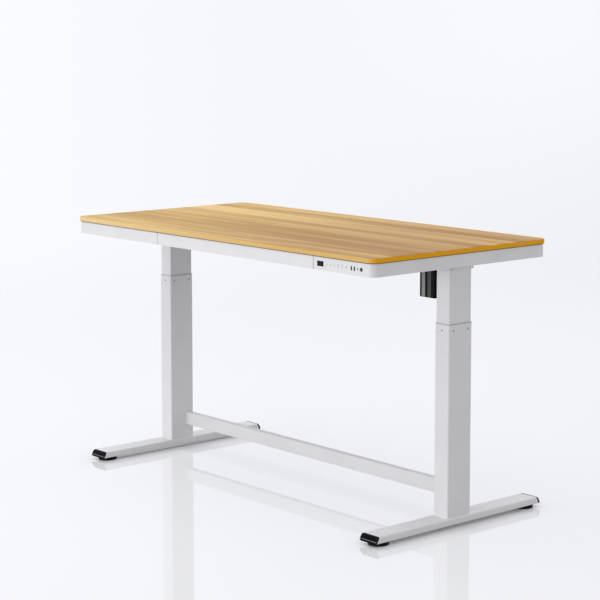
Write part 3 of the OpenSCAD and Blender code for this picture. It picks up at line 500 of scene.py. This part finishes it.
drawn_steel = Finish("bright_drawn_steel")
drawing_lines = drawn_steel.mottle(1, 4, drawn_steel.place(6, 1400, 1400))
drawn_steel.surface(**{"Base Color": drawn_steel.blend(drawing_lines, swatch(186, 188, 192),
                                                       swatch(214, 215, 218))},
                    Roughness=0.22 + drawing_lines * 0.2, Metallic=1.0)
drawn_steel.relief(drawing_lines, 0.000006)
drawn_steel.coat("screw_bearings", "cross_shaft", "motor_worm")


# ---------- motor ----------
# A black-oxide can with a worm on its shaft, under a moulded cover with upright flutes. Its
# front is near gloss with two painted reflection bands. The lead is a round jacketed cable.

black_oxide.coat("motor_can")

cover_black = Finish("moulded_black_cover")
cover_low, cover_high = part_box("motor_cover")
cover_middle = (cover_low.x + cover_high.x) / 2
cover_x = cover_black.node("SeparateXYZ", {}, {0: cover_black.place()}) - cover_middle
# Painted reflections: a pale and a grey upright band on the cover's front stand in for softbox reflections.
painted_highlight_band = cover_x.ramp(-0.0215, -0.0175) * (1 - cover_x.ramp(-0.0095, -0.0035))
painted_reflection_band = cover_x.ramp(0.0028, 0.0034) * (1 - cover_x.ramp(0.0150, 0.0190))
painted_reflection_share = painted_highlight_band + painted_reflection_band * 0.28
cover_facing = cover_black.node("SeparateXYZ", {}, {0: cover_black.node("NewGeometry", out="Normal")})
on_front = (0 - cover_facing.out("Y")).ramp(0.6, 0.95)
painted_reflection_share = painted_reflection_share * on_front * (0.96 + cover_black.mottle(50, 3) * 0.08)
cover_black.surface(**{"Base Color": cover_black.blend(painted_reflection_share, swatch(3, 3, 4),
                                                       swatch(152, 153, 154)),
                       "Specular IOR Level": 0.07},
                    Roughness=0.22 + painted_reflection_share * 0.25 + cover_black.mottle(300, 2) * 0.08)
cover_black.relief(cover_black.mottle(1900, 1), 0.000012)
cover_black.coat("motor_cover")

cable_jacket = Finish("cable_jacket")
cable_jacket.surface(**{"Base Color": cable_jacket.blend(cable_jacket.mottle(150), swatch(24, 24, 25),
                                                         swatch(34, 34, 35))},
                     Roughness=0.5 + cable_jacket.mottle(500) * 0.12)
cable_jacket.relief(cable_jacket.mottle(2600, 1), 0.00001)
cable_jacket.coat("motor_lead")


# ---------- control box and power inlet ----------
# A sand-blasted black ABS case screwed up under the top, and an appliance inlet in the rear
# panel, open to the rear.

blasted_black = Finish("blasted_black_plastic")
blasting = blasted_black.mottle(1100, 2)
blasted_black.surface(**{"Base Color": blasted_black.blend(blasting, swatch(26, 26, 27),
                                                           swatch(38, 38, 39))},
                      Roughness=0.56 + blasting * 0.12)
blasted_black.relief(blasting, 0.00004)
blasted_black.coat("control_box", "power_inlet", "control_unit", "button_housing")


# ---------- side arms and rails ----------
# Pressed channels, coated white, that run front to back over each column head, and two
# zinc plated tubes that tie them together under the middle of the top.

satin_white.coat("side_arm_left", "side_arm_right")
zinc.coat("frame_rail_front", "frame_rail_rear")


# ---------- skirt ----------
# Bent 2 mm sheet with folded lips that rings the frame: a left and a right U-shape and a
# loose rear panel, all powder coated, with a strip of foam between them and the top.

satin_white.coat("skirt_left", "skirt_right", "rear_panel")

# Partly painted shade: the foam is dark of itself, and is made near black so it also carries the shadow in
# the gap under the top.
foam = Finish("closed_cell_foam_and_gap_shade")
cells = foam.node("TexVoronoi", {"feature": "F1"}, {"Vector": foam.place(), "Scale": 1500})
foam.surface(**{"Base Color": foam.blend(cells, swatch(30, 27, 24), swatch(16, 14, 12))}, Roughness=0.9)
foam.relief(cells, 0.00008)
foam.coat("top_gasket")


# ---------- drawer ----------
# A folded sheet tray behind a boxed front, running on ball slides inside a plated housing
# that is screwed up under the top. Near-black strips on the ends of the front are painted seam shade.

satin_white.coat("drawer_front", "drawer_tray")
zinc.coat("drawer_housing")

slide_steel = Finish("bright_slide_steel")
rolling_lines = slide_steel.mottle(1, 4, slide_steel.place(900, 8, 900))
slide_steel.surface(**{"Base Color": slide_steel.blend(rolling_lines, swatch(190, 192, 196),
                                                       swatch(216, 218, 221))},
                    Roughness=0.24 + rolling_lines * 0.18, Metallic=1.0)
slide_steel.relief(rolling_lines, 0.000006)
slide_steel.coat("slide_outers", "slide_middles", "slide_inners")

# Painted shade: a near-black, felt-like finish for the strips that darken the seams beside the drawer front.
seam_shade = Finish("black_painted_seam_shade")
fluff = seam_shade.mottle(3000, 4)
seam_shade.surface(**{"Base Color": seam_shade.blend(fluff, swatch(6, 6, 7), swatch(18, 18, 19))}, Roughness=0.95)
seam_shade.relief(fluff, 0.0001)

strip_depth, strip_margin, strip_setback = 0.01, 0.0002, 0.00005
front_low, front_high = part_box("drawer_front")
for side, thick in (("left", 0.0009), ("right", 0.0014)):
    start_x = front_low.x - thick if side == "left" else front_high.x
    near = Vector((start_x, front_low.y + strip_setback, front_low.z + strip_margin))
    far = Vector((start_x + thick, front_low.y + strip_depth, front_high.z - strip_margin))
    make_piece("painted_seam_shade_" + side, *block(near, far), "drawer", "gasket_foam", seam_shade)


# ---------- display ----------
# A smoked acrylic window, flush in the skirt, over a two-digit height display that glows
# faintly lilac behind it.

smoked = Finish("smoked_window")
smoked.surface(**{"Base Color": smoked.blend(smoked.mottle(40), swatch(1, 1, 2), swatch(3, 3, 4)),
                  "Specular IOR Level": 0.06},
               Roughness=0.1 + smoked.mottle(400) * 0.05)
smoked.relief(smoked.mottle(300, 1), 0.000004)
smoked.coat("display_window")

lit_segment = Finish("lit_segment")
haze = lit_segment.mottle(900, 2)
lit_segment.surface(**{"Base Color": swatch(34, 31, 40), "Emission Strength": 0.04,
                       "Emission Color": lit_segment.blend(haze, swatch(186, 172, 214),
                                                           swatch(214, 204, 232))},
                    Roughness=0.5 + haze * 0.1)


def raised(name, outlines, face_y, thick, body, slot, finish):
    """Flat shapes, drawn as x and z round their outlines, standing a hair proud of a face."""
    points, faces = [], []
    for outline in outlines:
        area = sum(a[0] * b[1] - b[0] * a[1] for a, b in zip(outline, outline[1:] + outline[:1]))
        shape = outline if area > 0 else outline[::-1]
        start, size = len(points), len(shape)
        points += [(x, face_y - thick, z) for x, z in shape] + [(x, face_y, z) for x, z in shape]
        faces.append([start + i for i in range(size)])
        faces.append([start + size + i for i in reversed(range(size))])
        faces += [[start + (i + 1) % size, start + i, start + size + i, start + size + (i + 1) % size]
                  for i in range(size)]
    return make_piece(name, points, faces, body, slot, finish)


def segment_bar(x0, z0, x1, z1, width):
    """One bar of a seven-segment digit, pointed at both ends."""
    start, end = Vector((x0, z0)), Vector((x1, z1))
    along = (end - start).normalized()
    across = Vector((-along.y, along.x)) * width / 2
    start, end = start + along * width * 0.12, end - along * width * 0.12
    inset = along * width / 2
    ring = (start, start + inset - across, end - inset - across, end, end - inset + across,
            start + inset + across)
    return [tuple(p) for p in ring]


# a, b, c, d, e, f and g are the seven bars, from the top one clockwise, with g in the middle
segments_of = {"8": "abcdefg", "0": "abcdef"}
window_low, window_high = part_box("display_window")
digit_w, digit_h, bar_w = 0.0044, 0.0084, 0.0009
bars = []
digit_z = (window_low.z + window_high.z) / 2
for n, digit in enumerate("80"):
    digit_x = (window_low.x + window_high.x) / 2 + (n - 0.5) * digit_w * 1.6
    left, right = digit_x - digit_w / 2, digit_x + digit_w / 2
    low, high = digit_z - digit_h / 2, digit_z + digit_h / 2
    bar_ends = {"a": (left, high, right, high), "b": (right, high, right, digit_z),
                "c": (right, digit_z, right, low), "d": (left, low, right, low),
                "e": (left, digit_z, left, low), "f": (left, high, left, digit_z),
                "g": (left, digit_z, right, digit_z)}
    bars += [segment_bar(*bar_ends[letter], bar_w) for letter in segments_of[digit]]
raised("display_digits", bars, window_low.y, 0.00004, "lift", "display_gloss", lit_segment)


# ---------- touch marks ----------
# Six touch keys are printed on the skirt in thin grey ink: down, up and four stored heights.

print_grey = Finish("printed_grey_mark")
print_grey.surface(**{"Base Color": print_grey.blend(print_grey.mottle(2500, 2), swatch(132, 132, 135),
                                                     swatch(150, 150, 152))},
                   Roughness=0.5 + print_grey.mottle(900) * 0.1)

panel_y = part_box("skirt_right")[0].y
mark_z = (window_low.z + window_high.z) / 2
mark_h = 0.0072
ink = 0.00008
arrow_w = 0.0062
arrow_stem = 0.0006


def arrow(x, up):
    """A chevron over a short stem, pointing up or down."""
    way = 1 if up else -1
    tip, tail = mark_z + way * mark_h / 2, mark_z - way * mark_h / 2
    wing = tip - way * arrow_w / 2
    return [(x, tip), (x + arrow_w / 2, wing), (x + arrow_w / 2 - arrow_stem, wing - way * arrow_stem),
            (x + arrow_stem / 2, tip - way * arrow_stem * 2.6), (x + arrow_stem / 2, tail),
            (x - arrow_stem / 2, tail), (x - arrow_stem / 2, tip - way * arrow_stem * 2.6),
            (x - arrow_w / 2 + arrow_stem, wing - way * arrow_stem), (x - arrow_w / 2, wing)]


first_mark_x, mark_pitch = 0.5115, 0.0158
mark_x = [first_mark_x + mark_pitch * i for i in range(6)]
raised("touch_arrow_down", [arrow(mark_x[0], False)], panel_y, ink, "lift", "button_plastic", print_grey)
raised("touch_arrow_up", [arrow(mark_x[1], True)], panel_y, ink, "lift", "button_plastic", print_grey)

for number in range(1, 5):
    letters = bpy.data.curves.new("figure", "FONT")
    letters.body = str(number)
    letters.size = mark_h * 1.8
    letters.extrude = ink / 2
    letters.align_x = "CENTER"
    letters.align_y = "CENTER"
    maker = bpy.data.objects.new("figure", letters)
    bpy.context.scene.collection.objects.link(maker)
    bpy.context.view_layer.update()
    drawn = maker.evaluated_get(bpy.context.evaluated_depsgraph_get())
    figure = bpy.data.meshes.new_from_object(drawn)
    bpy.data.objects.remove(maker)
    stand_up = Matrix.Rotation(math.pi / 2, 4, "X")
    figure.transform(Matrix.Translation((mark_x[number + 1], panel_y - ink / 2, mark_z)) @ stand_up)
    figure.materials.clear()
    figure.materials.append(print_grey.material)
    key = bpy.data.objects.new(f"touch_figure_{number}", figure)
    bpy.context.scene.collection.objects.link(key)
    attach(key, "lift")


# ---------- charging ports ----------
# Two upright USB-A sockets and a narrow slot beside them, moulded with their tongues as one
# grey block and clipped in behind the skirt.

port_grey = Finish("moulded_port_block")
port_grey.surface(**{"Base Color": port_grey.blend(port_grey.mottle(300), swatch(120, 120, 122),
                                                   swatch(134, 134, 136))},
                  Roughness=0.4 + port_grey.mottle(800) * 0.1)
port_grey.relief(port_grey.mottle(2400, 1), 0.00001)
port_grey.coat("usb_ports")


# ---------- power button ----------
# A domed round key in dark grey that stands just proud of the skirt, with the usual ring and
# bar for on and off.

key_grey = Finish("satin_dark_key")
key_grey.surface(**{"Base Color": key_grey.blend(key_grey.mottle(200), swatch(20, 20, 21),
                                                 swatch(27, 27, 28))},
                 Roughness=0.34 + key_grey.mottle(700) * 0.1)
key_grey.relief(key_grey.mottle(2400, 1), 0.00001)
key_grey.coat("power_button")

key_low, key_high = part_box("power_button")
key_x, key_z = (key_low.x + key_high.x) / 2, (key_low.z + key_high.z) / 2
ring_r, line_w = 0.0021, 0.0006
gap = math.radians(38)
sweep = [math.pi / 2 + gap + (2 * math.pi - 2 * gap) * i / 40 for i in range(41)]
outer_r, inner_r = ring_r + line_w / 2, ring_r - line_w / 2
ring = ([(key_x + outer_r * math.cos(a), key_z + outer_r * math.sin(a)) for a in sweep]
        + [(key_x + inner_r * math.cos(a), key_z + inner_r * math.sin(a)) for a in reversed(sweep)])
bar_foot, bar_top = key_z + 0.0005, key_z + ring_r + 0.0006
bar = [(key_x - line_w / 2, bar_foot), (key_x + line_w / 2, bar_foot),
       (key_x + line_w / 2, bar_top), (key_x - line_w / 2, bar_top)]
mark_grey = Finish("printed_dim_mark")
mark_grey.surface(**{"Base Color": mark_grey.blend(mark_grey.mottle(2500, 2), swatch(92, 92, 94),
                                                   swatch(112, 112, 114))},
                  Roughness=0.5 + mark_grey.mottle(900) * 0.1)
raised("power_mark", [ring, bar], key_low.y, 0.00005, "power_button", "white_paint", mark_grey)


# ---------- desktop ----------
# Particle board with an oak veneer laid in wide staves along its length, under a satin
# lacquer. The milled edges are banded, stained honey gold on the short ends, and the
# underside has a dark backing foil.

oak = Finish("oak_veneer")
part = oak.node("SeparateXYZ", {}, {0: oak.place()})
along, across = part, part.out("Y")
stave_w, stave_offset = 0.0585, 0.37
stave = (across / stave_w + stave_offset).floor()
stave_tone = oak.node("TexWhiteNoise", {"noise_dimensions": "1D"}, {"W": stave})
length_shift = along + stave_tone * 9


def streak(per_length, per_width, detail, rough=0.5, drift=0.0):
    """Noise drawn out along the grain, different in every stave."""
    where = oak.node("CombineXYZ", {}, {0: length_shift * per_length, 1: across * per_width + drift,
                                        2: stave * 3.7})
    return oak.node("TexNoise", {}, {"Vector": where, "Scale": 1, "Detail": detail, "Roughness": rough})


broad = streak(1.3, 26, 3)
fine = streak(3.5, 190, 4, 0.6)
hair = streak(16, 1500, 2)
flame = ((across * 150 + broad * 13 + streak(0.7, 5, 1) * 10).sine() + 1) * 0.5
tone = 0.5 + (broad - 0.5) * 1.5 + (stave_tone - 0.5) * 0.55 + (fine - 0.5) * 0.7 + (flame - 0.5) * 0.16
pores = hair.ramp(0.56, 0.7) * fine.ramp(0.4, 0.62)
joint_place = across / stave_w + stave_offset - stave
joint = abs(joint_place - 0.5).ramp(0.487, 0.4985)
# Painted light: the veneer and the long edge bands are paler towards the left end, as light falling from the
# left.
painted_light_from_left = (0 - along).ramp(-0.45, 0.75)
dark_wood = oak.blend(painted_light_from_left, swatch(160, 118, 66), swatch(184, 145, 82))
pale_wood = oak.blend(painted_light_from_left, swatch(203, 167, 110), swatch(224, 192, 126))
veneer = oak.blend(tone.ramp(0.02, 0.98), dark_wood, pale_wood)
dark_line = swatch(122, 84, 44)
veneer = oak.blend(pores * 0.4, veneer, dark_line)
veneer = oak.blend(joint * 0.3, veneer, dark_line)

facing = oak.node("SeparateXYZ", {}, {0: oak.node("NewGeometry", out="Normal")})
endness = abs(facing).ramp(0.15, 0.85)
band_streak = streak(2.5, 30, 3)
band_dark = oak.blend(painted_light_from_left, swatch(216, 172, 100), swatch(232, 199, 142))
band_pale = oak.blend(painted_light_from_left, swatch(230, 192, 122), swatch(243, 216, 161))
long_band = oak.blend(band_streak, band_dark, band_pale)
end_band = oak.blend(band_streak, swatch(236, 164, 14), swatch(248, 180, 30))
edge_band = oak.blend(endness, long_band, end_band)
backing = (0 - facing.out("Z")).ramp(0.5, 0.85)
edge_band = oak.blend(backing, edge_band, swatch(62, 52, 40))

faces_up = facing.out("Z").ramp(0.25, 0.8)
oak.surface(**{"Base Color": oak.blend(faces_up, edge_band, veneer), "Specular IOR Level": 0.1},
            Roughness=0.5 + pores * 0.2 + (fine - 0.5) * 0.08)
oak.relief(1 - pores * 0.8 - joint * 0.6, 0.00006, 0.8)
oak.coat("desktop")


# ---------- sizes ----------
# The box round everything that is shown, apart from the backdrop.

low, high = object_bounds()
